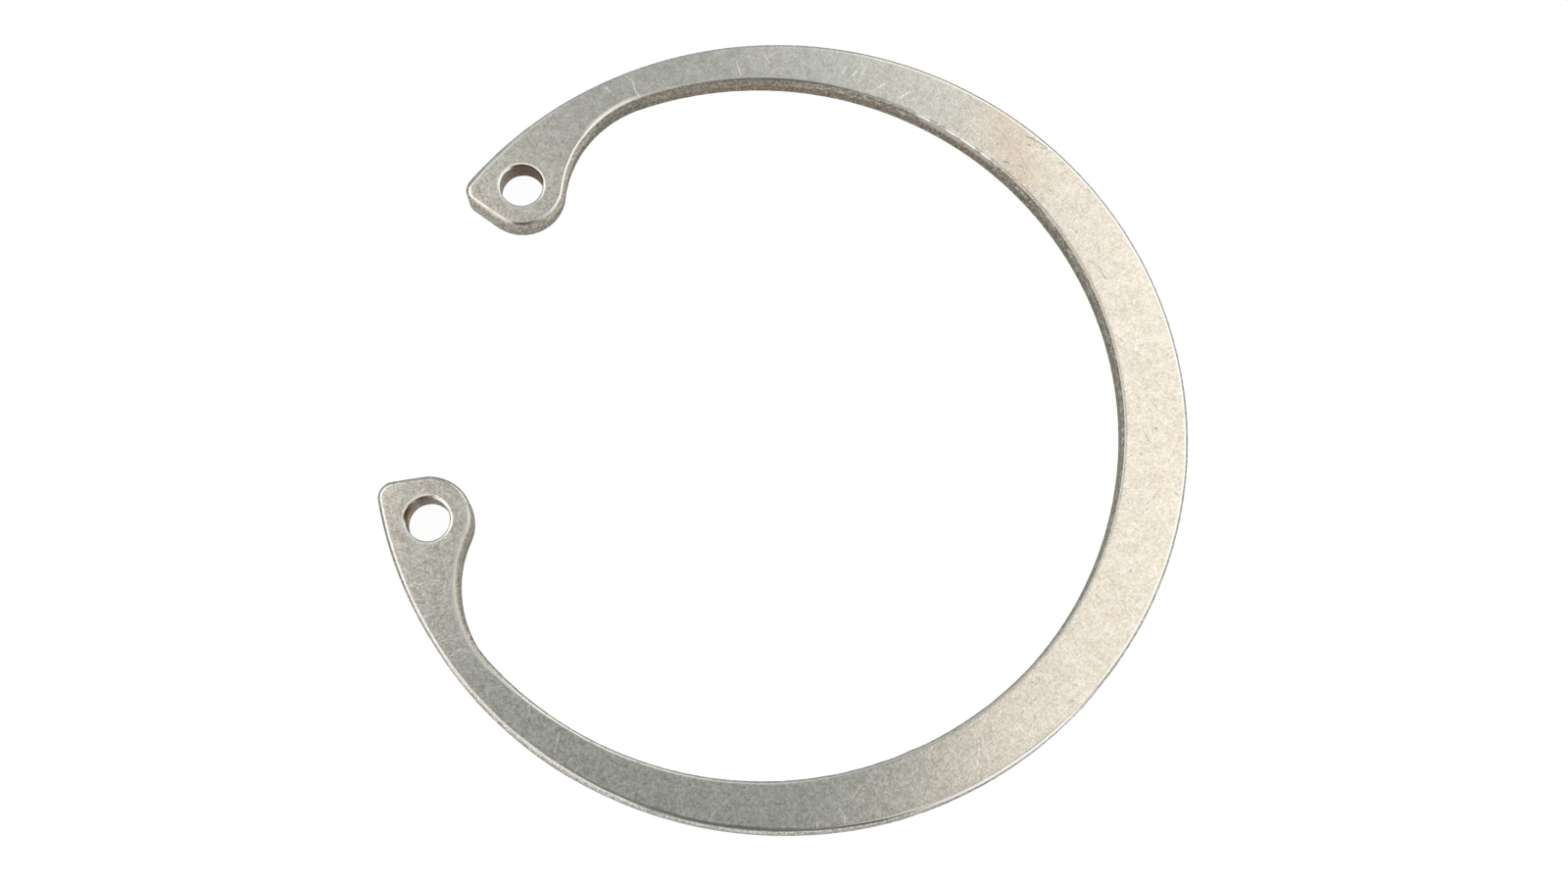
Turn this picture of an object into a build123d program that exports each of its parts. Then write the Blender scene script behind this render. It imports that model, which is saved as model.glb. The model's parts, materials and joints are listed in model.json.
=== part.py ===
from build123d import *
import os
from math import acos, asin, degrees

# Internal retaining ring (snap ring) for a 50 mm bore, punched from 2 mm spring steel strip.
# It is drawn free, out of its groove, and it lies flat: the axis of its outer edge is Z,
# its middle plane is Z = 0 and its gap opens towards -X.

# Driving dimensions
free_dia = 54.2          # across the outer edge
thickness = 2.0          # of the strip
band_wide = 4.4          # width of the band opposite the gap
band_narrow = 1.65       # width that the band tapers towards, at the gap
gap_angle = 45.3         # degrees between the two end faces, which both point at the axis
hole_dia = 2.85          # holes for the tips of the pliers
hole_inset = 2.9         # centre of each hole, in from the outer edge
hole_wall = 1.5          # metal left round each hole, on the nose of its lug
root_radius = 7.8        # hollow curve where each lug runs into the band
corner_radius = 1.1      # corner between each end face and the outer edge
roll_radius = 0.2        # rounding of the upper edges, which the punch drew down
burr_bevel = 0.1         # bevel on the lower edges, where tumbling wore the burr off

# The inner edge is a smaller circle moved towards the gap, and that makes the taper
outer_radius = free_dia / 2
inner_radius = outer_radius - (band_wide + band_narrow) / 2
inner_centre = Vector(-(band_wide - band_narrow) / 2, 0)

# Each nose is an arc about its hole, and the end face leaves it in a straight line
nose_radius = hole_dia / 2 + hole_wall
hole_circle_radius = outer_radius - hole_inset
end_angle = 180 - gap_angle / 2
hole_angle = end_angle - degrees(asin(nose_radius / hole_circle_radius))
end_face_start = (hole_circle_radius**2 - nose_radius**2) ** 0.5


def polar(radius, angle):
    """Point at a radius and an angle in degrees about the ring's axis."""
    return Vector(radius, 0).rotate(Axis.Z, angle)


def towards(start, end, distance):
    """Point at a distance from start, on the line towards end."""
    return start + (end - start).normalized() * distance


# The root curve touches the nose from outside and the inner edge from inside, so its centre
# makes a triangle of known sides with theirs
hole_centre = polar(hole_circle_radius, hole_angle)
root_to_nose = root_radius + nose_radius
root_to_inner = inner_radius - root_radius
hole_to_inner = (hole_centre - inner_centre).length
root_turn = degrees(acos(
    (root_to_inner**2 + hole_to_inner**2 - root_to_nose**2) / (2 * root_to_inner * hole_to_inner)
))
to_hole = (hole_centre - inner_centre).normalized()
root_centre = inner_centre + to_hole.rotate(Axis.Z, -root_turn) * root_to_inner

with BuildPart() as snap_ring:

    # Outline of one half, from the middle of the band round its lug, then its mirror image
    with BuildSketch() as outline:
        with BuildLine():
            outer_edge = CenterArc((0, 0), outer_radius, 0, end_angle)
            end_face = Line(outer_edge @ 1, polar(end_face_start, end_angle))
            nose = TangentArc(
                end_face @ 1, towards(hole_centre, root_centre, nose_radius), tangent=end_face % 1
            )
            root = TangentArc(
                nose @ 1, towards(inner_centre, root_centre, inner_radius), tangent=nose % 1
            )
            inner_edge = TangentArc(
                root @ 1, inner_centre + Vector(inner_radius, 0), tangent=root % 1
            )
            Line(inner_edge @ 1, outer_edge @ 0)
        make_face()
        fillet(outline.vertices().sort_by(Axis.X)[0], corner_radius)
        mirror(about=Plane.XZ)
    extrude(amount=thickness / 2, both=True)

    # Plier holes, one in each lug
    with Locations(hole_centre, (hole_centre.X, -hole_centre.Y)):
        Hole(hole_dia / 2)

    # Edges of the two flat faces, the rims of the holes included
    fillet(snap_ring.faces().sort_by(Axis.Z)[-1].edges(), roll_radius)
    chamfer(snap_ring.faces().sort_by(Axis.Z)[0].edges(), burr_bevel)

snap_ring.part.label = "snap_ring"
os.makedirs("parts", exist_ok=True)
export_step(snap_ring.part, "parts/snap_ring.step")
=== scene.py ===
import json
from math import acos, asin, atan2, ceil, cos, degrees, pi, radians, sin, sqrt

import bpy
from mathutils import Matrix, Vector, noise
from mathutils.geometry import tessellate_polygon


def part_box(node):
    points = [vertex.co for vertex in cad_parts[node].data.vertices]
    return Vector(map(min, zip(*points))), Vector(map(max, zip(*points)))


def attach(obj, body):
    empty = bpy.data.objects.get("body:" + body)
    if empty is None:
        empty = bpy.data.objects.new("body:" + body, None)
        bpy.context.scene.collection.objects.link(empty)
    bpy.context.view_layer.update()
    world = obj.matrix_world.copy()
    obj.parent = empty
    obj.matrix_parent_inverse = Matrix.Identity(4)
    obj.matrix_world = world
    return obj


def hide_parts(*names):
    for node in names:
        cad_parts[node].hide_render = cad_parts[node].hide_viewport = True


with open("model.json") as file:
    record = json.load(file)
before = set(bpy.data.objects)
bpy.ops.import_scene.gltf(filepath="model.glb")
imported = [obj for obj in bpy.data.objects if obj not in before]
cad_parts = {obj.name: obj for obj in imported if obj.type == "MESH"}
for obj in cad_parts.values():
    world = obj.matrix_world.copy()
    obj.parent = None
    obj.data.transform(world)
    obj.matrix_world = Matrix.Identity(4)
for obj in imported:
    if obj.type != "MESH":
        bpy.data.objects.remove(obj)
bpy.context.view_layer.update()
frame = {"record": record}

MM = 0.001

# Sizes of the ring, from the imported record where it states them
MOUNTS = {mount["name"]: mount for mount in frame["record"]["mounts"]}
OUTER_RADIUS = MOUNTS["outer_edge"]["dims"]["r_mm"] * MM
HOLE_RADIUS = MOUNTS["plier_hole_left"]["dims"]["r_mm"] * MM
HOLE_CENTRE = Vector(MOUNTS["plier_hole_left"]["pos_m"][:2])
HALF_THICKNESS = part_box("snap_ring")[1].z
BAND_WIDE = 4.4 * MM
BAND_NARROW = 1.65 * MM
GAP_ANGLE = radians(45.3)
HOLE_WALL = 1.5 * MM
ROOT_RADIUS = 7.8 * MM
CORNER_RADIUS = 1.1 * MM
ROLL_RADIUS = 0.2 * MM
BURR_BEVEL = 0.1 * MM

# Worked out from them, as in the CAD model
INNER_RADIUS = OUTER_RADIUS - (BAND_WIDE + BAND_NARROW) / 2
INNER_CENTRE = Vector((-(BAND_WIDE - BAND_NARROW) / 2, 0))
NOSE_RADIUS = HOLE_RADIUS + HOLE_WALL
END_ANGLE = pi - GAP_ANGLE / 2

# Mesh: spacing along the walls, rows down them, and a flat row that keeps the faces' shading flat
STEP = 0.13 * MM
HOLE_STEP = 0.1 * MM
ROLL_ROWS = 8
WALL_ROWS = 12
GUARD = 0.03 * MM

# Rolled upper edges: wide outside and round the lugs, narrow inside and round the plier holes
OUTER_ROLL = 0.28 * MM
FRONT_ROLL = 0.33 * MM
TIP_ROLL = 0.38 * MM
UPPER_LUG_ROLL = 0.25 * MM
LOWER_LUG_ROLL = 0.41 * MM
INNER_ROLL = 0.22 * MM
BORE_ROLL = 0.14 * MM
LOWER_BORE_ROLL = 0.2 * MM
FRONT_DEPTH = 0.5 * MM
RIM_WIDTH = 0.12 * MM
ROLL_UNEVENNESS = 0.12

# Angles about the ring's axis between which the rolled edges change their width
TIP_WIDENS = (radians(141), radians(149))
TIP_NARROWS = (radians(153.5), radians(157))
LUG_BEGINS = (radians(112), radians(128))
INSIDE_NARROWS = (radians(52), radians(66))
INSIDE_WIDENS = (radians(88), radians(104))

# Directions from the centres of the plier holes to the sides of their rolled edges that are painted in
# shade
UPPER_SHADED_WAY = radians(75)
LOWER_SHADED_WAY = radians(145)

# Walls left by the punch: a smooth sheared band above and a rough torn one that stands out below it.
# The outline as a whole is drawn a hair inside the solid's.
SHEAR_SHARE = 0.5
WALL_INSET = 0.005 * MM
SHEAR_INSET = 0.035 * MM
TORN_DEPTH = 0.03 * MM

# Where the torn band of the outer wall flares: start, full, end of full, end in degrees, and by how much
FLARES = ((-140, -128, -112, -100, 0.05 * MM), (-80, -60, -32, -14, 0.08 * MM))

# Small burrs on the inner edge, in the ring's plane in mm
BURRS = ((7.9, -22.75), (9.9, -21.85), (11.4, -20.95), (13.0, -19.7))
BURR_HEIGHT = 0.05 * MM
BURR_REACH = 0.3 * MM

# Numbers stored at the mesh's points for the material, each from 0 to 1: how far down the rolled
# edge, on the rim beside it, how far torn, in a plier hole, on the inner edge, and on the side that
# faces the photographer or, in a plier hole, on the side whose rolled edge is painted in shade
MARKS = ("roll", "rim", "torn", "bore", "inner", "front")

# Single marks on the upper face, in mm: light scratches, dark scratches and dark pits
LIGHT_SCRATCHES = (
    ((0.66, 24.37), (1.41, 25.17)),
    ((2.63, 24.39), (3.23, 25.01)),
    ((-1.60, 25.22), (-1.45, 25.79)),
    ((-0.90, 25.20), (-0.66, 25.68)),
    ((-0.26, 25.48), (-0.16, 25.99)),
    ((9.23, -24.03), (9.79, -24.53)),
    ((1.57, -25.97), (1.41, -26.63)),
    ((-8.92, 24.30), (-8.46, 23.51)),
    ((-15.56, 21.21), (-15.27, 20.72)),
    ((-17.35, 20.32), (-16.79, 20.01)),
)
DARK_SCRATCHES = (
    ((9.87, 24.99), (11.69, 24.24)),
    ((11.79, 23.74), (13.35, 23.23)),
    ((12.00, 23.08), (13.31, 23.10)),
    ((10.65, 21.55), (12.35, 21.37)),
)
PITS = ((16.51, 17.68), (24.79, -0.27), (24.49, -4.61), (24.40, 5.29), (-20.04, -13.64))

# Height of the flat light panels over the ring, and distance of the upright ones from its axis
LIGHT_HEIGHT = 0.318
LIGHT_DISTANCE = 0.33


def polar(radius, angle):
    """Point at a radius and an angle in radians about the ring's axis."""
    return Vector((radius * cos(angle), radius * sin(angle)))


def smooth(value, low, high):
    """0 below low, 1 above high and a smooth rise between them."""
    share = min(max((value - low) / (high - low), 0), 1)
    return share * share * (3 - 2 * share)


def towards(start, end, distance):
    """Point at a distance from start, on the line towards end."""
    return start + (end - start).normalized() * distance


def circles_meet(centre_a, radius_a, centre_b, radius_b):
    """Meeting point of two circles that lies clockwise of the line from centre_a to centre_b."""
    between = centre_b - centre_a
    span = between.length
    turn = acos((radius_a**2 + span**2 - radius_b**2) / (2 * radius_a * span))
    return centre_a + Matrix.Rotation(-turn, 2) @ between.normalized() * radius_a


def arc(centre, start, end, hollow=False):
    """Points from start up to end on the arc about centre, each with its normal out of the metal.

    A solid arc runs counter-clockwise round metal, a hollow one clockwise round empty space."""
    radius = (start - centre).length
    first = atan2(start.y - centre.y, start.x - centre.x)
    last = atan2(end.y - centre.y, end.x - centre.x)
    sweep = (first - last if hollow else last - first) % (2 * pi)
    count = max(2, ceil(radius * sweep / STEP))
    found = []
    for i in range(count):
        outward = polar(1, first + (-sweep if hollow else sweep) * i / count)
        found.append((centre + outward * radius, -outward if hollow else outward))
    return found


def line(start, end):
    """Points from start up to end on a straight edge, with the metal on its left."""
    along = (end - start).normalized()
    outward = Vector((along.y, -along.x))
    count = max(2, ceil((end - start).length / STEP))
    return [(start.lerp(end, i / count), outward) for i in range(count)]


def ring_outline():
    """The ring's outline, counter-clockwise: one half, then its mirror image.

    Each point comes with its normal and a mark from 0 on the outer edge to 1 on the inner one."""
    axis = Vector((0, 0))
    corner_reach = OUTER_RADIUS - CORNER_RADIUS
    corner_centre = polar(corner_reach, END_ANGLE - asin(CORNER_RADIUS / corner_reach))
    corner_start = towards(axis, corner_centre, OUTER_RADIUS)
    face_start = polar(sqrt(corner_reach**2 - CORNER_RADIUS**2), END_ANGLE)
    nose_start = polar(sqrt(HOLE_CENTRE.length_squared - NOSE_RADIUS**2), END_ANGLE)
    root_centre = circles_meet(
        INNER_CENTRE, INNER_RADIUS - ROOT_RADIUS, HOLE_CENTRE, ROOT_RADIUS + NOSE_RADIUS
    )
    root_start = towards(HOLE_CENTRE, root_centre, NOSE_RADIUS)
    root_end = towards(INNER_CENTRE, root_centre, INNER_RADIUS)
    middle = INNER_CENTRE + polar(INNER_RADIUS, 0)
    outside = arc(axis, polar(OUTER_RADIUS, 0), corner_start)
    outside += arc(corner_centre, corner_start, face_start)
    outside += line(face_start, nose_start)
    nose = arc(HOLE_CENTRE, nose_start, root_start)
    inside = arc(root_centre, root_start, root_end, hollow=True)
    inside += arc(INNER_CENTRE, root_end, middle, hollow=True)
    inside.append((middle, Vector((-1, 0))))
    half = [(point, outward, 0) for point, outward in outside]
    half += [(*item, i / len(nose)) for i, item in enumerate(nose)]
    half += [(point, outward, 1) for point, outward in inside]
    flip = Matrix(((1, 0), (0, -1)))
    return half + [(flip @ point, flip @ outward, mark) for point, outward, mark in half[-2:0:-1]]


def hole_outline(centre):
    """Outline of a plier hole, clockwise, so that its normals point out of the metal too."""
    count = ceil(2 * pi * HOLE_RADIUS / HOLE_STEP)
    outward = [polar(1, -2 * pi * i / count) for i in range(count)]
    return [(centre + way * HOLE_RADIUS, -way, 1) for way in outward]


def bore_shade(point, outward):
    """How far the rolled edge of a plier hole is painted in shade, by the side of the hole that it is
    on; the lower hole's edge is also rolled wider there.
    """
    if point.y > 0:
        return smooth(-outward.dot(polar(1, UPPER_SHADED_WAY)), 0.3, 0.7)
    return smooth(-outward.dot(polar(1, LOWER_SHADED_WAY)), 0.3, 0.8)


def roll_size(point, outward, inner, bore):
    """Width and depth of the rolled upper edge at a point of the outline."""
    if bore:
        widest = BORE_ROLL if point.y > 0 else LOWER_BORE_ROLL
        return BORE_ROLL + (widest - BORE_ROLL) * bore_shade(point, outward), BORE_ROLL
    angle = atan2(point.y, point.x)
    at_front = smooth(-outward.y, 0.86, 0.97)
    at_tip = smooth(angle, *TIP_WIDENS) - 0.5 * smooth(angle, *TIP_NARROWS)
    at_lug = smooth(abs(angle), *LUG_BEGINS)
    outside = OUTER_ROLL + (FRONT_ROLL - OUTER_ROLL) * at_front
    outside += (TIP_ROLL - outside) * at_tip
    lug_roll = UPPER_LUG_ROLL if point.y > 0 else LOWER_LUG_ROLL
    narrow = smooth(angle, *INSIDE_NARROWS) - smooth(angle, *INSIDE_WIDENS)
    inside = INNER_ROLL * (1 - 0.5 * narrow)
    inside += (lug_roll - inside) * at_lug
    uneven = 1 + ROLL_UNEVENNESS * noise.noise(Vector((point.x, point.y, 0)) / MM * 0.5)
    width = (outside + (inside - outside) * inner) * uneven
    depth = ROLL_RADIUS + (FRONT_DEPTH - ROLL_RADIUS) * at_front * (1 - inner)
    return width, depth


def wall_profile(width, depth):
    """Rows of a wall from the upper face down: inset, height, share of the roll and of the rim."""
    rows = [
        (width + RIM_WIDTH + GUARD, HALF_THICKNESS, 0, 0),
        (width + RIM_WIDTH, HALF_THICKNESS, 0, 0),
        (width + RIM_WIDTH * 0.6, HALF_THICKNESS, 0, 1),
    ]
    for i in range(ROLL_ROWS + 1):
        turn = pi / 2 * i / ROLL_ROWS
        drop = depth * (1 - cos(turn))
        rim = max(0, 1 - 3 * i / ROLL_ROWS)
        rows.append((width * (1 - sin(turn)), HALF_THICKNESS - drop, i / ROLL_ROWS, rim))
    top = HALF_THICKNESS - depth
    foot = -HALF_THICKNESS + BURR_BEVEL
    for i in range(1, WALL_ROWS + 1):
        rows.append((0, top + (foot - top) * i / WALL_ROWS, 1, 0))
    rows.append((BURR_BEVEL, -HALF_THICKNESS, 0, 0))
    rows.append((BURR_BEVEL + GUARD, -HALF_THICKNESS, 0, 0))
    return rows


def tearing(point):
    """How far a wall is torn at a point, from 0 in the sheared band to 1 in the torn one."""
    height = (point.z + HALF_THICKNESS) / (2 * HALF_THICKNESS)
    place = Vector((point.x, point.y, 0)) / MM
    border = SHEAR_SHARE + 0.2 * noise.noise(place * 0.35) + 0.1 * noise.noise(place * 1.9)
    return 1 - smooth(height, border - 0.05, border + 0.03)


def tear_inset(point, torn):
    """Depth of a wall's surface below its outermost points."""
    place = point / MM
    coarse = noise.noise(place * 2.1) * 0.5 + 0.5
    fine = noise.noise(place * 5.3) * 0.5 + 0.5
    rough = torn * (0.6 * coarse + 0.4 * fine) + 0.1 * fine
    return SHEAR_INSET * (1 - torn) + TORN_DEPTH * rough


def flare(point, torn, inner):
    """How far the torn band of the outer wall stands out at a point."""
    angle = degrees(atan2(point.y, point.x))
    height = 0
    for start, full, full_end, end, most in FLARES:
        height += most * (smooth(angle, start, full) - smooth(angle, full_end, end))
    return height * torn * (1 - inner)


def burr(point):
    """How far the inner edge stands out at a point, by its small burrs."""
    height = 0
    for place in BURRS:
        share = (point - Vector(place) * MM).length / BURR_REACH
        height = max(height, BURR_HEIGHT * (1 - smooth(share, 0, 2.5)))
    return height


def wall_points(point, outward, inner, bore):
    """Points down the wall at a point of an outline, each with its numbers in the order of MARKS."""
    width, depth = roll_size(point, outward, inner, bore)
    point = point + outward * (burr(point) - WALL_INSET)
    front = bore_shade(point, outward) if bore else smooth(-outward.y, 0.5, 0.95)
    found = []
    for inset, height, roll, rim in wall_profile(width, depth):
        place = point - outward * inset
        place = Vector((place.x, place.y, height))
        torn = tearing(place) if roll == 1 else 0
        if roll == 1:
            sunk = tear_inset(place, torn) - flare(place, torn, inner)
            place -= Vector((outward.x, outward.y, 0)) * sunk
        found.append((place, (roll, rim, torn, int(bore), inner, front)))
    return found


def wall_faces(first, count, rows):
    """Faces of a wall whose points begin at first, with count columns of points, rows in each."""
    found = []
    for i in range(count):
        here = first + i * rows
        there = first + (i + 1) % count * rows
        for row in range(rows - 1):
            found.append((here + row, here + row + 1, there + row + 1, there + row))
    return found


def flat_faces(vertices, borders, up):
    """Triangles of a flat face between its outer border and its holes', facing up or down."""
    flat = [index for border in borders for index in border]
    found = []
    for triangle in tessellate_polygon([[vertices[i] for i in border] for border in borders]):
        corners = [flat[i] for i in triangle]
        a, b, c = (vertices[i] for i in corners)
        if ((b - a).cross(c - a).z > 0) != up:
            corners.reverse()
        found.append(tuple(corners))
    return found


def ring_mesh():
    """The ring as one closed mesh, with the walls' rolled edges, sheared bands and torn bands."""
    holes = [HOLE_CENTRE, Vector((HOLE_CENTRE.x, -HOLE_CENTRE.y))]
    loops = [ring_outline()] + [hole_outline(centre) for centre in holes]
    rows = len(wall_profile(0, 0))
    vertices = []
    marks = []
    faces = []
    upper = []
    lower = []
    for loop_number, loop in enumerate(loops):
        first = len(vertices)
        for point, outward, inner in loop:
            for place, numbers in wall_points(point, outward, inner, loop_number > 0):
                vertices.append(place)
                marks.append(numbers)
        faces += wall_faces(first, len(loop), rows)
        upper.append(range(first, len(vertices), rows))
        lower.append(range(first + rows - 1, len(vertices), rows))
    faces += flat_faces(vertices, upper, True)
    faces += flat_faces(vertices, lower, False)
    mesh = bpy.data.meshes.new("ring")
    mesh.from_pydata(vertices, [], faces)
    for name, values in zip(MARKS, zip(*marks)):
        mesh.attributes.new(name, "FLOAT", "POINT").data.foreach_set("value", values)
    mesh.shade_smooth()
    mesh.validate()
    return mesh


class Graph:
    """Node tree of a material or of the surroundings, with short calls for its nodes."""

    def __init__(self, owner):
        owner.use_nodes = True
        self.owner = owner
        self.tree = owner.node_tree

    def put(self, value, socket):
        """Sets a socket to a value, or links it to another socket."""
        if isinstance(value, bpy.types.NodeSocket):
            self.tree.links.new(value, socket)
        else:
            socket.default_value = value

    def node(self, kind, **settings):
        """New node with some of its settings."""
        made = self.tree.nodes.new(kind)
        for name, value in settings.items():
            setattr(made, name, value)
        return made

    def math(self, operation, *values, clamp=False):
        """Result of a calculation with numbers."""
        made = self.node("ShaderNodeMath", operation=operation, use_clamp=clamp)
        for value, socket in zip(values, made.inputs):
            self.put(value, socket)
        return made.outputs[0]

    def vector(self, operation, a, b):
        """Result of a calculation with two vectors."""
        made = self.node("ShaderNodeVectorMath", operation=operation)
        self.put(a, made.inputs[0])
        self.put(b, made.inputs[1])
        number = operation in ("LENGTH", "DISTANCE", "DOT_PRODUCT")
        return made.outputs["Value" if number else "Vector"]

    def product(self, *values):
        """Product of several numbers."""
        made = values[0]
        for value in values[1:]:
            made = self.math("MULTIPLY", made, value)
        return made

    def strongest(self, *values):
        """Largest of several numbers."""
        most = values[0]
        for value in values[1:]:
            most = self.math("MAXIMUM", most, value)
        return most

    def rest(self, value):
        """1 minus a number."""
        return self.math("SUBTRACT", 1.0, value)

    def less(self, value, taken):
        """Number minus another, kept between 0 and 1."""
        return self.math("SUBTRACT", value, taken, clamp=True)

    def plus(self, base, value, factor):
        """base plus value times factor."""
        return self.math("MULTIPLY_ADD", value, factor, base)

    def sway(self, base, pattern, factor):
        """base plus a pattern about its middle, times factor."""
        return self.plus(base, self.math("SUBTRACT", pattern, 0.5), factor)

    def rise(self, value, low, high, start=0.0, end=1.0):
        """Smooth step from start, where value is low, to end, where it is high."""
        made = self.node("ShaderNodeMapRange", interpolation_type="SMOOTHSTEP")
        for item, socket in zip((value, low, high, start, end), made.inputs):
            self.put(item, socket)
        return made.outputs[0]

    def fall(self, value, low, high):
        """Smooth step from 1, where value is low, to 0, where it is high."""
        return self.rise(value, low, high, 1.0, 0.0)

    def window(self, value, low, full, full_end, high):
        """1 from full to full_end, fading to 0 at low and high."""
        return self.product(self.rise(value, low, full), self.fall(value, full_end, high))

    def mix(self, share, a, b):
        """Colour or number between a and b."""
        colour = isinstance(a, tuple) or isinstance(b, tuple)
        colour = colour or any(getattr(v, "type", "") == "RGBA" for v in (a, b))
        made = self.node("ShaderNodeMix", data_type="RGBA" if colour else "FLOAT")
        self.put(share, made.inputs[0])
        first = 6 if colour else 2
        self.put(a, made.inputs[first])
        self.put(b, made.inputs[first + 1])
        return made.outputs[2 if colour else 0]

    def tint(self, colour, factor):
        """Colour times a number."""
        made = self.node("ShaderNodeVectorMath", operation="SCALE")
        self.put(colour[:3] if isinstance(colour, tuple) else colour, made.inputs[0])
        self.put(factor, made.inputs["Scale"])
        return made.outputs[0]

    def noise(self, place, scale, detail=2.0, roughness=0.5, output="Fac"):
        """Cloudy pattern between 0 and 1, as a number or a colour."""
        made = self.node("ShaderNodeTexNoise")
        self.put(place, made.inputs["Vector"])
        self.put(scale, made.inputs["Scale"])
        self.put(detail, made.inputs["Detail"])
        self.put(roughness, made.inputs["Roughness"])
        return made.outputs[output]

    def stretched(self, place, angle, scale):
        """Place turned by an angle about Z and then scaled."""
        turned = self.node("ShaderNodeVectorRotate", rotation_type="Z_AXIS")
        self.put(place, turned.inputs["Vector"])
        self.put(angle, turned.inputs["Angle"])
        return self.vector("MULTIPLY", turned.outputs[0], scale)

    def axes(self, place):
        """X, Y and Z of a place."""
        made = self.node("ShaderNodeSeparateXYZ")
        self.put(place, made.inputs[0])
        return made.outputs[0], made.outputs[1], made.outputs[2]

    def mark(self, name):
        """Number stored at the mesh's points."""
        return self.node("ShaderNodeAttribute", attribute_name=name).outputs["Fac"]

    def spot(self, place, centre, radius):
        """1 at the centre, fading to 0 at a radius from it."""
        return self.fall(self.vector("DISTANCE", place, centre), 0.0, radius)

    def stroke(self, place, start, end, width):
        """1 on the line from start to end, fading to 0 at a width from it."""
        run = Vector((*end, 0)) - Vector((*start, 0))
        local = self.vector("SUBTRACT", place, (*start, 0))
        share = self.vector("DOT_PRODUCT", local, tuple(run / run.length_squared))
        share = self.math("ADD", share, 0.0, clamp=True)
        nearest = self.tint(tuple(run), share)
        return self.fall(self.vector("DISTANCE", local, nearest), 0.0, width)

    def scratches(self, place, spacing, length, width, share):
        """Short straight scratches, at most one in each cell and each at an angle of its own."""
        scaled = self.vector("MULTIPLY", place, (1 / spacing,) * 3)
        cells = self.node("ShaderNodeTexVoronoi", voronoi_dimensions="2D")
        self.put(scaled, cells.inputs["Vector"])
        self.put(1.0, cells.inputs["Scale"])
        chance = self.node("ShaderNodeSeparateColor")
        self.put(cells.outputs["Color"], chance.inputs[0])
        local = self.vector("SUBTRACT", scaled, cells.outputs["Position"])
        angle = self.product(chance.outputs[0], 2 * pi)
        x, y, _ = self.axes(self.stretched(local, angle, (1, 1, 0)))
        reach = self.product(chance.outputs[1], length / spacing / 2)
        along = self.math("SUBTRACT", self.math("ABSOLUTE", x), reach)
        along = self.fall(along, 0.0, 0.08)
        across = self.fall(self.math("ABSOLUTE", y), 0.0, width / spacing)
        there = self.math("LESS_THAN", chance.outputs[2], share)
        return self.product(along, across, there)

    def show(self, share, first, second, output):
        """Shows two shaders at an output, mixed by the second one's share."""
        made = self.node("ShaderNodeMixShader")
        for item, socket in zip((share, first, second), made.inputs):
            self.put(item, socket)
        self.put(made.outputs[0], self.tree.nodes[output].inputs["Surface"])


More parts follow.
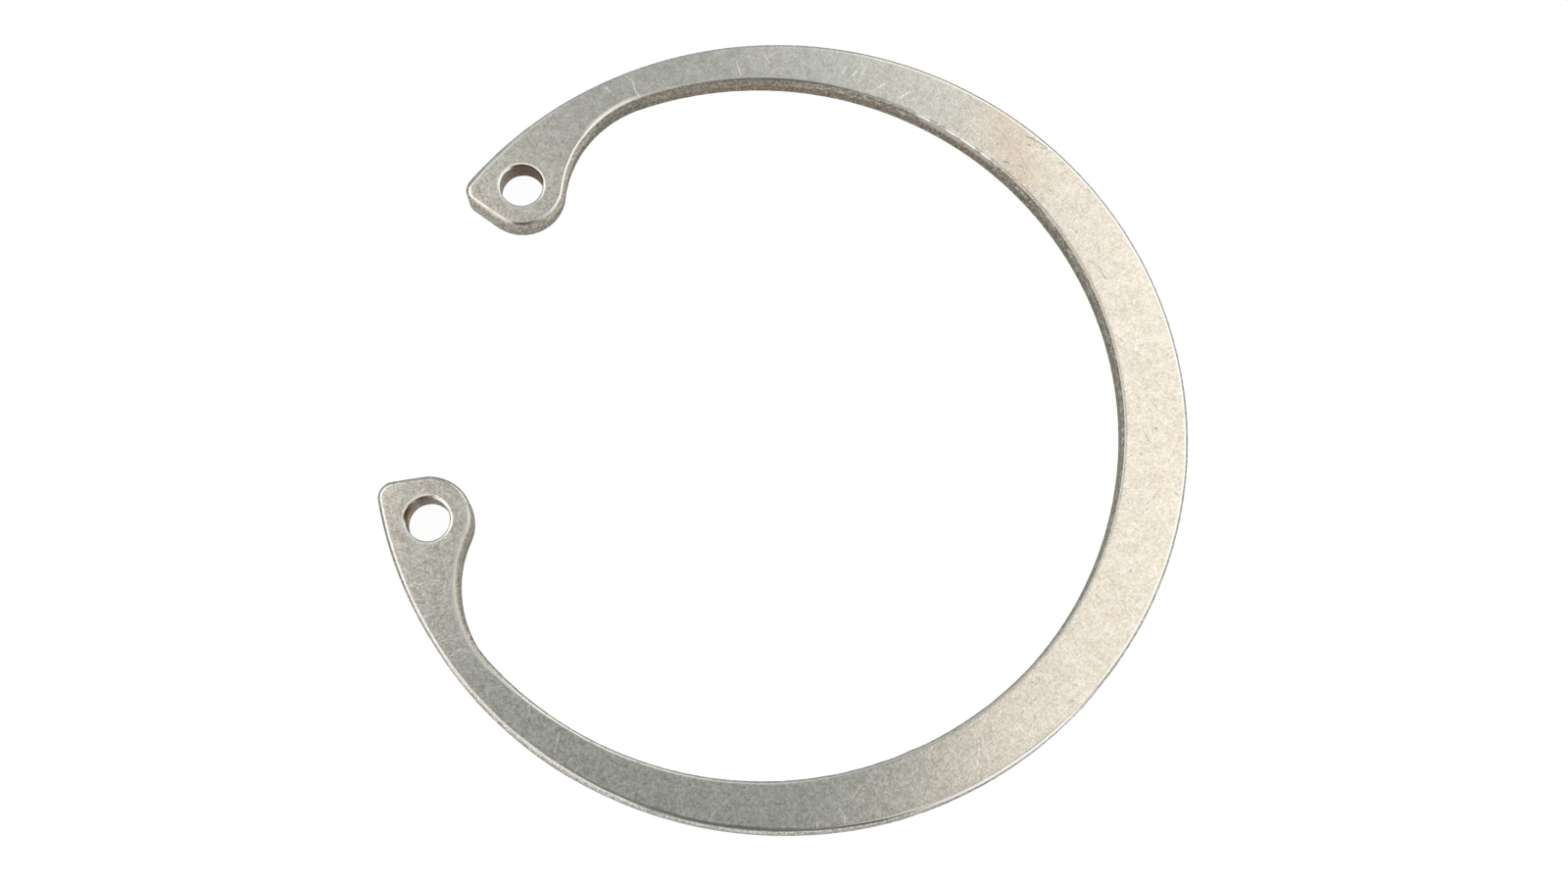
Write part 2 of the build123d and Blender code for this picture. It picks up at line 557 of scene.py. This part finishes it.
class Steel(Graph):
    """Spring steel, matt and finely grained from tumbling, bright along its worn edges.

    Places in it are in mm and angles in radians, both from the ring's axis."""

    def __init__(self):
        super().__init__(bpy.data.materials.new("spring_steel"))
        self.find_places()
        self.make_patterns()
        self.find_regions()

    def find_places(self):
        """Place on the ring, in several forms, and the numbers stored in its mesh."""
        object_place = self.node("ShaderNodeTexCoord").outputs["Object"]
        self.place = self.vector("MULTIPLY", object_place, (1 / MM,) * 3)
        self.flat_place = self.vector("MULTIPLY", self.place, (1, 1, 0))
        self.x, self.y, self.z = self.axes(self.place)
        self.angle = self.math("ARCTAN2", self.y, self.x)
        wander = self.noise(self.flat_place, 1.2, output="Color")
        wander = self.vector("SUBTRACT", wander, (0.5, 0.5, 0.5))
        self.drawn_place = self.vector("ADD", self.flat_place, self.tint(wander, 0.25))
        bend = self.tint(self.noise(self.place, 0.4), 2.0)
        self.bent_place = self.vector("ADD", self.place, bend)
        self.roll = self.mark("roll")
        self.rim = self.mark("rim")
        self.torn = self.mark("torn")
        self.bore = self.mark("bore")
        self.inner = self.mark("inner")
        self.front = self.mark("front")

    def make_patterns(self):
        """Patches, grain, streaks and scratches of the faces, specks and flakes of the walls."""
        self.patch = self.noise(self.place, 1.7, 3.0, 0.6)
        self.grain = self.noise(self.place, 6.5, 3.0, 0.75)
        streak_place = self.stretched(self.bent_place, radians(-50), (2, 9, 1))
        self.streak = self.noise(streak_place, 1.0, 3.0, 0.65)
        self.light_scratch = self.scratches(
            self.place, spacing=1.6, length=1.3, width=0.035, share=0.25
        )
        dark_place = self.vector("ADD", self.bent_place, (7.3, 2.1, 0))
        self.dark_scratch = self.scratches(
            dark_place, spacing=2.1, length=2.0, width=0.035, share=0.3
        )
        speck_place = self.vector("MULTIPLY", self.place, (1, 1, 0.5))
        self.speck = self.noise(speck_place, 6.5, 3.0, 0.75)
        self.bits = self.rise(self.speck, 0.42, 0.6)
        self.flake_place = self.vector("MULTIPLY", self.place, (1, 1, 0.8))
        self.flake = self.noise(self.flake_place, 2.4, 3.0, 0.65)

    def find_regions(self):
        """Parts of the ring that look different, each as a share from 0 to 1."""
        self.outer = self.rest(self.inner)
        self.upper = self.rise(self.y, -2.0, 2.0)
        self.rim_share = self.rise(self.rim, 0.1, 0.7)
        self.lower_lug = self.product(self.fall(self.x, -17.0, -13.0), self.rest(self.upper))
        self.plain_tip = self.product(self.lower_lug, self.rise(self.y, -10.7, -9.8))
        self.end_face = self.product(self.rise(self.y, 13.0, 12.2), self.upper)
        low_right = self.window(self.angle, -1.08, -0.94, -0.63, -0.45)
        self.low_right_edge = self.product(low_right, self.outer)
        # angles of the inner edge where highlights are painted
        self.highlight_range = self.window(self.angle, 1.1, 1.17, 1.38, 1.42)
        # painted shade on one side of each plier hole's rolled edge
        self.shaded_bore = self.product(self.bore, self.front)

    def face_shade(self):
        """Light and dark of the tumbled faces, stronger on the duller side of the ring."""
        cloud = self.noise(self.place, 0.45, 3.0, 0.6)
        cross_place = self.stretched(self.bent_place, radians(35), (2.4, 11, 1))
        cross_streak = self.noise(cross_place, 1.0, 2.0, 0.65)
        pit_place = self.vector("ADD", self.place, (3.1, 5.7, 0))
        pit = self.scratches(pit_place, spacing=1.9, length=0.1, width=0.07, share=0.25)
        strength = self.rise(self.plus(self.x, self.y, 0.6), -24.0, 8.0, 1.7, 0.8)
        shade = self.sway(1.0, self.grain, strength)
        shade = self.sway(shade, self.streak, 0.45)
        shade = self.sway(shade, cross_streak, 0.4)
        shade = self.sway(shade, self.patch, 0.3)
        shade = self.sway(shade, cloud, 0.2)
        shade = self.plus(shade, self.dark_scratch, -0.25)
        shade = self.plus(shade, pit, -0.4)
        return self.plus(shade, self.light_scratch, 0.3)

    def single_marks(self, shade):
        """Shade with the single scratches and pits, and small dark specks along the outer edge."""
        uneven = self.rise(self.noise(self.place, 3.5), 0.3, 0.55)
        light = [self.stroke(self.flat_place, a, b, 0.09) for a, b in LIGHT_SCRATCHES]
        dark = [self.stroke(self.drawn_place, a, b, 0.07) for a, b in DARK_SCRATCHES]
        pits = [self.spot(self.flat_place, (*centre, 0), 0.12) for centre in PITS]
        radius = self.vector("LENGTH", self.flat_place, (0, 0, 0))
        from_right = self.math("ABSOLUTE", self.math("ADD", self.angle, radians(47)))
        specks = self.product(
            self.window(radius, 26.5, 26.68, 26.84, 26.9),
            self.fall(from_right, 0.12, 0.3),
            self.rise(self.grain, 0.52, 0.62),
        )
        shade = self.plus(shade, self.product(self.strongest(*light), uneven), 0.55)
        shade = self.plus(shade, self.product(self.strongest(*dark), uneven), -0.6)
        shade = self.plus(shade, self.strongest(*pits), -0.55)
        return self.plus(shade, specks, -0.35)

    def face_colour(self, shade):
        """Faces: browner in patches, with a tan stain across the band and a cooler part beside it."""
        dirt = self.rise(self.plus(self.grain, self.patch, 0.5), 0.85, 0.6)
        colour = self.mix(dirt, (0.62, 0.60, 0.565, 1), (0.60, 0.555, 0.50, 1))
        stain = self.stroke(self.drawn_place, (9.6, 25.4), (12.2, 21.0), 2.3)
        stain = self.product(stain, 0.9, self.rise(self.patch, 0.3, 0.6, 0.45, 1.0))
        colour = self.mix(stain, colour, (0.60, 0.52, 0.445, 1))
        cooler = self.stroke(self.drawn_place, (-3.0, 25.6), (6.5, 25.0), 3.5)
        colour = self.mix(self.product(cooler, 0.4), colour, (0.575, 0.585, 0.55, 1))
        shade = self.plus(shade, self.spot(self.flat_place, (-21.2, -11.6, 0), 4.5), -0.1)
        shade = self.plus(shade, self.spot(self.flat_place, (-17.0, -19.0, 0), 5.0), 0.06)
        return self.tint(colour, shade)

    def inner_edge_light_and_shade(self):
        """Painted light and shade of the rolled edges on the lugs and inside the ring, mostly greyer
        than the faces.
        """
        lug = self.rise(self.y, -8.0, 8.0, 0.5, 0.84)
        low_band = self.rise(self.y, -14.0, -6.0, 1.05, 0.76)
        band = self.math("ADD", low_band, self.rise(self.y, 6.0, 18.0, 0.0, 0.24))
        return self.mix(self.rise(self.x, -16.0, -10.0), lug, band)

    def outer_edge_light_and_shade(self):
        """Painted light and shade of the outer rolled edges: darker at the right and on the upper lug's
        end face, lighter at its corner.
        """
        at_end = self.product(self.rise(self.x, -21.0, -22.0), self.end_face)
        at_corner = self.product(self.rise(self.x, -19.5, -22.0), self.rise(self.y, 12.4, 13.4))
        tone = self.rise(self.x, 5.0, 15.0, 1.0, 0.87)
        tone = self.plus(tone, at_end, -0.2)
        return self.plus(tone, at_corner, 0.2)

    def edge_light_and_shade(self):
        """Painted light and shade of all rolled edges: lighter at the bottom, with a dark line of
        painted shade at the lower right.
        """
        tone = self.mix(self.inner, self.outer_edge_light_and_shade(), self.inner_edge_light_and_shade())
        tone = self.plus(tone, self.plain_tip, 0.15)
        tone = self.mix(self.rise(self.roll, 0.14, 0.3), 1.0, tone)
        # painted shade on the rim beside the inner rolled edge at the right
        rim_shade = self.product(self.rim_share, self.inner, self.rise(self.x, 5.0, 12.0))
        tone = self.plus(tone, rim_shade, -0.1)
        # painted light on the outer rolled edge at the bottom
        bottom_edge_light = self.window(self.angle, -1.78, -1.68, -1.3, -1.15)
        bottom_edge_light = self.product(bottom_edge_light, self.outer, self.rise(self.roll, 0.0, 0.05))
        tone = self.plus(tone, bottom_edge_light, 0.45)
        # painted shade: a dark line down the outer rolled edge at the lower right
        edge_shade_line = self.product(self.low_right_edge, self.rise(self.roll, 0.25, 0.15))
        edge_shade_line = self.product(edge_shade_line, self.rise(self.roll, 0.0, 0.03))
        return self.plus(tone, edge_shade_line, -0.3)

    def worn_and_highlight_share(self):
        """Worn line where each face turns into its rolled edge, and round the plier holes: part wear,
        part painted highlight.
        """
        # the line is painted weaker at the top and left out at the lower right, the lower lug's tip and
        # on the holes' rolls
        plain_top = self.product(self.window(self.angle, 1.5, 1.7, 2.3, 2.45), self.outer, 0.7)
        plain = self.math("ADD", self.bore, self.low_right_edge)
        plain = self.math("ADD", plain, self.math("ADD", self.plain_tip, plain_top))
        on_roll = self.less(self.window(self.roll, 0.0, 0.03, 0.15, 0.32), plain)
        on_lug = self.less(self.product(self.lower_lug, self.inner, 0.4), self.plain_tip)
        shaded_fade = self.mix(self.shaded_bore, 1.0, self.fall(self.roll, 0.03, 0.16))
        shaded_lower = self.product(self.shaded_bore, self.rest(self.upper))
        on_rim = self.product(
            self.rim_share,
            self.strongest(on_lug, self.bore),
            shaded_fade,
            self.plus(1.0, shaded_lower, -0.3),
        )
        wear = self.rise(self.noise(self.place, 1.3, 3.0, 0.6), 0.22, 0.44)
        worn = self.product(self.strongest(on_roll, on_rim), wear)
        # painted highlight round the plier holes' rolled edges, on the side out of the painted shade
        lit_bore_rim = self.math("SUBTRACT", self.bore, self.shaded_bore)
        lit_bore_rim = self.product(lit_bore_rim, self.window(self.roll, 0.0, 0.1, 0.8, 0.95))
        return self.strongest(worn, lit_bore_rim)

    def worn_and_highlight_colour(self):
        """Colour of the worn lines, part painted highlight: lighter at the left, with painted shade on
        the near side of the holes.
        """
        lug_inside = self.product(self.lower_lug, self.inner)
        left = self.mix(lug_inside, (0.86, 0.87, 0.86, 1), (0.86, 0.84, 0.8, 1))
        colour = self.mix(self.rise(self.x, -15.0, 5.0), left, (0.71, 0.71, 0.695, 1))
        hole_y = HOLE_CENTRE.y / MM
        behind_hole = self.math("SUBTRACT", self.y, self.rise(self.y, -2.0, 2.0, -hole_y, hole_y))
        # painted shade on the near side of each plier hole's rolled edge
        near_side_shade = self.rise(behind_hole, 0.0, -1.1)
        round_hole = self.mix(near_side_shade, (1.0, 0.99, 0.96, 1), (0.7, 0.695, 0.675, 1))
        return self.mix(self.bore, colour, round_hole)

    def painted_highlights(self):
        """Painted highlights: bright lines outside at the lower right, and inside at the upper right and
        upper left.
        """
        low = self.product(self.window(self.roll, 0.18, 0.26, 0.6, 0.75), self.low_right_edge)
        broken = self.strongest(self.rise(self.roll, 0.0, 0.1), self.product(self.rim_share, 0.3))
        broken = self.product(broken, self.rise(self.z, 0.8, 0.9), self.highlight_range)
        broken = self.product(broken, self.inner, self.rise(self.patch, 0.42, 0.5))
        root_range = self.window(self.angle, 2.17, 2.25, 2.34, 2.42)
        root = self.strongest(self.window(self.roll, 0.0, 0.03, 0.4, 0.55), self.rim_share)
        root = self.product(root, self.inner, 0.6, root_range)
        return self.strongest(low, broken, root)

    def wall_share(self):
        """Where the walls' colour takes over from the faces', on the way down the rolled edge; in a
        plier hole it starts near the top of the edge on the side painted in shade.
        """
        start = self.mix(self.bore, 0.3, self.mix(self.front, 0.75, 0.03))
        bore_end = self.mix(self.front, 0.95, 0.2)
        end = self.mix(self.bore, self.mix(self.inner, 0.6, 0.7), bore_end)
        return self.rise(self.roll, start, end)

    def inside_walls(self):
        """Sheared and torn colour of the band's inner wall: brown, with light flakes where sheared."""
        rusty = self.window(self.angle, 0.95, 1.3, 1.9, 2.3)
        dark = self.mix(rusty, (0.135, 0.128, 0.103, 1), (0.16, 0.128, 0.1, 1))
        light = self.mix(rusty, (0.28, 0.268, 0.23, 1), (0.3, 0.25, 0.205, 1))
        flakes = self.rise(self.flake, 0.52, 0.6)
        flakes = self.product(flakes, self.rise(self.angle, 1.6, 1.9, 1.0, 0.25))
        sheared = self.mix(self.bits, (0.16, 0.145, 0.115, 1), (0.36, 0.33, 0.28, 1))
        sheared = self.mix(flakes, sheared, (0.52, 0.5, 0.44, 1))
        return sheared, self.mix(self.bits, dark, light)

    def outside_walls(self):
        """Sheared and torn colour of the band's outer wall, paler and with upright drag lines."""
        drag = self.noise(self.vector("MULTIPLY", self.place, (1, 1, 0.1)), 7.0, 2.0, 0.7)
        drag_line = self.rise(self.plus(drag, self.speck, 0.5), 0.62, 0.88)
        sheared = self.mix(drag_line, (0.38, 0.37, 0.34, 1), (0.82, 0.8, 0.76, 1))
        return sheared, self.mix(self.bits, (0.22, 0.21, 0.185, 1), (0.68, 0.66, 0.61, 1))

    def lug_walls(self):
        """Colour of the lugs' walls, lighter on the upper lug's end face and root."""
        colour = self.mix(self.bits, (0.25, 0.236, 0.205, 1), (0.54, 0.515, 0.465, 1))
        at_end = self.product(self.fall(self.x, -22.4, -21.4), self.rise(self.y, 0.0, 2.0))
        colour = self.tint(colour, self.plus(1.0, at_end, 0.1))
        facing_right = self.product(self.rise(self.x, -19.2, -18.4), self.upper)
        level = self.plus(self.rise(self.y, -2.0, 2.0, 0.85, 1.0), facing_right, 0.3)
        return self.tint(colour, level)

    def hole_walls(self):
        """Colour of the plier holes' walls: dark brown, with a few paler places."""
        colour = self.mix(self.bits, (0.085, 0.06, 0.042, 1), (0.19, 0.14, 0.105, 1))
        darkest = self.spot(self.flat_place, (-22.4, -12.8, 0), 1.6)
        colour = self.tint(colour, self.rest(darkest))
        paler = self.strongest(
            self.spot(self.flat_place, (-22.5, 11.9, 0), 1.9),
            self.spot(self.flat_place, (-20.7, -10.4, 0), 1.9),
            self.spot(self.flat_place, (-22.3, -10.9, 0), 0.7),
        )
        pale = self.mix(self.bits, (0.24, 0.2, 0.165, 1), (0.44, 0.39, 0.335, 1))
        return self.mix(paler, colour, pale)

    def wall_colour(self):
        """Colour of all walls, with light glints and dark gaps between the specks."""
        inner_sheared, inner_torn = self.inside_walls()
        outer_sheared, outer_torn = self.outside_walls()
        lug = self.lug_walls()
        at_lug = self.fall(self.x, -18.3, -16.6)
        inner_sheared = self.mix(at_lug, inner_sheared, self.tint(lug, 1.1))
        outer_sheared = self.mix(at_lug, outer_sheared, lug)
        outer_torn = self.mix(at_lug, outer_torn, lug)
        sheared = self.mix(self.inner, outer_sheared, inner_sheared)
        torn = self.mix(self.inner, outer_torn, inner_torn)
        colour = self.mix(self.torn, sheared, torn)
        glint = self.rise(self.noise(self.flake_place, 5.5, 1.0), 0.56, 0.64)
        colour = self.mix(self.product(glint, 0.5), colour, (0.52, 0.505, 0.45, 1))
        gap = self.rise(self.noise(self.flake_place, 6.2, 1.0), 0.42, 0.34)
        colour = self.tint(colour, self.plus(1.0, gap, -0.5))
        return self.mix(self.bore, colour, self.hole_walls())

    def stained_and_highlit_walls(self, colour):
        """Walls with a painted highlight of bright flakes high on the inner wall at the upper right, a
        spot of rust and an ochre stain.
        """
        # painted highlight: bright flakes on the upper part of the inner wall
        bright = self.product(self.highlight_range, self.rise(self.z, 0.0, 0.4))
        bright = self.product(bright, self.inner, self.rise(self.flake, 0.38, 0.45))
        colour = self.mix(bright, colour, (0.5, 0.485, 0.44, 1))
        place = self.vector("MULTIPLY", self.place, (1, 1, 1.6))
        rust = self.product(self.spot(place, (-6.2, 23.09, -0.3), 0.6), self.bits)
        colour = self.mix(rust, colour, (0.5, 0.2, 0.05, 1))
        ochre = self.spot(place, (-22.4, -11.9, -0.5), 1.1)
        return self.mix(ochre, colour, (0.5, 0.36, 0.2, 1))

    def cast(self, colour):
        """Colour with a faint painted cool cast on the rolled edges and walls, strongest at the left,
        standing in for the cooler light they reflect.
        """
        share = self.less(self.rise(self.roll, 0.0, 0.1), self.product(self.front, self.inner))
        share = self.less(share, self.bore)
        upper = self.mix(self.end_face, (0.97, 1.0, 1.035, 1), (1.0, 1.0, 0.99, 1))
        right = self.rise(self.x, -20.0, -15.0)
        lower = self.mix(right, (0.95, 1.0, 1.06, 1), (0.985, 1.0, 1.015, 1))
        left = self.mix(self.upper, lower, upper)
        others = self.mix(self.lower_lug, (0.985, 1.0, 1.015, 1), (0.995, 1.0, 1.0, 1))
        outer_left = self.product(self.fall(self.x, -12.0, -5.0), self.outer)
        factor = self.mix(outer_left, others, left)
        return self.mix(share, colour, self.vector("MULTIPLY", colour, factor))

    def relief(self, wall):
        """Fine relief of the faces and the walls, as a normal."""
        height = self.plus(self.grain, self.streak, 0.5)
        height = self.plus(height, self.light_scratch, -0.4)
        height = self.plus(height, self.dark_scratch, -0.6)
        height = self.mix(wall, height, self.product(self.speck, 3.0))
        bump = self.node("ShaderNodeBump")
        self.put(0.006 * MM, bump.inputs["Distance"])
        self.put(1.0, bump.inputs["Strength"])
        self.put(height, bump.inputs["Height"])
        return bump.outputs[0]

    def finish(self):
        """The material, with all parts put together."""
        wall = self.wall_share()
        worn = self.worn_and_highlight_share()
        bright = self.painted_highlights()
        face = self.face_colour(self.single_marks(self.face_shade()))
        # the rolled edges get their painted light and shade here
        face = self.tint(face, self.edge_light_and_shade())
        colour = self.mix(wall, face, self.stained_and_highlit_walls(self.wall_colour()))
        # worn lines and painted highlights along the edges
        colour = self.mix(worn, colour, self.worn_and_highlight_colour())
        # painted highlights in near white
        colour = self.mix(bright, colour, (1.0, 1.0, 0.97, 1))
        roughness = self.plus(0.13, self.patch, 0.12)
        roughness = self.product(roughness, self.rise(self.y, -21.0, -9.0, 0.65, 1.0))
        roughness = self.mix(wall, roughness, 0.45)
        roughness = self.mix(worn, roughness, 0.2)
        roughness = self.mix(bright, roughness, 0.4)
        shader = self.tree.nodes["Principled BSDF"]
        self.put(self.cast(colour), shader.inputs["Base Color"])
        self.put(roughness, shader.inputs["Roughness"])
        self.put(self.mix(wall, 1.0, 0.8), shader.inputs["Metallic"])
        self.put((0.62, 0.58, 0.53, 1), shader.inputs["Specular Tint"])
        self.put(self.relief(wall), shader.inputs["Normal"])
        return self.owner


def floor_material():
    """White surface that stays white to the camera and in reflections, but for the shadow."""
    g = Graph(bpy.data.materials.new("white_floor"))
    shader = g.tree.nodes["Principled BSDF"]
    g.put((0.9, 0.9, 0.9, 1), shader.inputs["Base Color"])
    g.put(0.9, shader.inputs["Roughness"])
    g.put(0, shader.inputs["Specular IOR Level"])
    path = g.node("ShaderNodeLightPath")
    seen = g.strongest(
        path.outputs["Is Camera Ray"],
        path.outputs["Is Glossy Ray"],
        path.outputs["Is Transmission Ray"],
    )
    glow = g.node("ShaderNodeEmission")
    g.put(1.08, glow.inputs["Strength"])
    g.show(g.product(seen, 0.88), shader.outputs[0], glow.outputs[0], "Material Output")
    return g.owner


def make_floor():
    """Plain floor under the ring."""
    half = 2.0
    mesh = bpy.data.meshes.new("floor")
    corners = [(-half, -half), (half, -half), (half, half), (-half, half)]
    mesh.from_pydata([(x, y, -HALF_THICKNESS) for x, y in corners], [], [(0, 1, 2, 3)])
    mesh.materials.append(floor_material())
    floor = bpy.data.objects.new("floor", mesh)
    bpy.context.collection.objects.link(floor)


def make_world(colour, far_level, near_level, low_level):
    """Even surroundings, white to the camera and dimmer on the photographer's side."""
    g = Graph(bpy.data.worlds.new("studio"))
    background = g.tree.nodes["Background"]
    g.put((*colour, 1), background.inputs["Color"])
    _, y, z = g.axes(g.node("ShaderNodeTexCoord").outputs["Generated"])
    by_side = g.rise(y, -0.15, 0.16, near_level, far_level)
    by_height = g.rise(z, 0.35, 0.7, low_level, 0)
    g.put(g.strongest(by_side, by_height), background.inputs["Strength"])
    white = g.node("ShaderNodeBackground")
    g.put((1, 1, 1, 1), white.inputs["Color"])
    path = g.node("ShaderNodeLightPath")
    g.show(path.outputs["Is Camera Ray"], background.outputs[0], white.outputs[0], "World Output")
    bpy.context.scene.world = g.owner


def light_panel(name, place, turn, size, colour, radiance):
    """Even rectangular studio light, unseen by the camera."""
    light = bpy.data.lights.new(name, "AREA")
    light.shape = "RECTANGLE"
    light.size, light.size_y = size
    light.energy = radiance * pi * size[0] * size[1]
    light.color = colour
    lamp = bpy.data.objects.new(name, light)
    bpy.context.collection.objects.link(lamp)
    lamp.location = place
    lamp.rotation_euler = turn
    lamp.visible_camera = False


def flat_light(name, edge, angle, size, colour, radiance):
    """Light panel facing down over the ring.

    The middle of its near edge is at the point edge, and it reaches away from there along angle."""
    middle = Vector(edge) + polar(size[0] / 2, angle)
    light_panel(name, (*middle, LIGHT_HEIGHT), (0, 0, angle), size, colour, radiance)


def upright_light(name, angle, size, colour, radiance):
    """Light panel that stands on the floor, seen from the ring along angle."""
    middle = polar(LIGHT_DISTANCE, angle)
    turn = (pi / 2, 0, angle + pi / 2)
    light_panel(name, (*middle, size[1] / 2), turn, size, colour, radiance)


def make_lights():
    """Three panels overhead and two low ones at the front, all but one of them warm."""
    flat_light(
        "main_light", edge=(0.027, 0.1245), angle=radians(11),
        size=(0.42, 0.65), colour=(1, 0.89, 0.775), radiance=1.0,
    )
    flat_light(
        "back_light", edge=(-0.005, 0.169), angle=radians(90),
        size=(0.25, 0.06), colour=(1, 1, 1), radiance=0.57,
    )
    flat_light(
        "left_light", edge=(-0.093, -0.08), angle=radians(180),
        size=(0.32, 0.44), colour=(1, 0.88, 0.79), radiance=1.0,
    )
    upright_light(
        "low_light", angle=radians(-36),
        size=(0.2, 0.3), colour=(1, 0.99, 0.96), radiance=0.9,
    )
    upright_light(
        "side_light", angle=radians(-127),
        size=(0.32, 0.3), colour=(1, 0.98, 0.95), radiance=0.95,
    )


def make_camera(aim, distance, azimuth, elevation, roll, lens):
    """Camera at a distance from aim. Azimuth 0 looks along +Y and roll turns it about its view."""
    back = Vector((
        sin(azimuth) * cos(elevation),
        -cos(azimuth) * cos(elevation),
        sin(elevation),
    ))
    data = bpy.data.cameras.new("camera")
    data.lens = lens
    data.sensor_width = 36
    data.clip_start = 0.01
    data.clip_end = 10
    camera = bpy.data.objects.new("camera", data)
    bpy.context.collection.objects.link(camera)
    camera.location = aim + back * distance
    camera.rotation_mode = "QUATERNION"
    level = (-back).to_track_quat("-Z", "Y")
    camera.rotation_quaternion = level @ Matrix.Rotation(roll, 3, "Z").to_quaternion()
    bpy.context.scene.camera = camera


ring = bpy.data.objects.new("ring", ring_mesh())
bpy.context.collection.objects.link(ring)
ring.data.materials.append(Steel().finish())
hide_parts("snap_ring")
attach(ring, "root")

make_floor()
make_world(colour=(0.935, 1, 0.98), far_level=0.58, near_level=0.145, low_level=0.32)
make_lights()
make_camera(
    aim=Vector((0.373, -1.099, 0)) * MM,
    distance=143.88 * MM,
    azimuth=radians(5.72),
    elevation=radians(75.48),
    roll=radians(7.56),
    lens=49.5,
)
bpy.context.scene.view_settings.view_transform = "Standard"
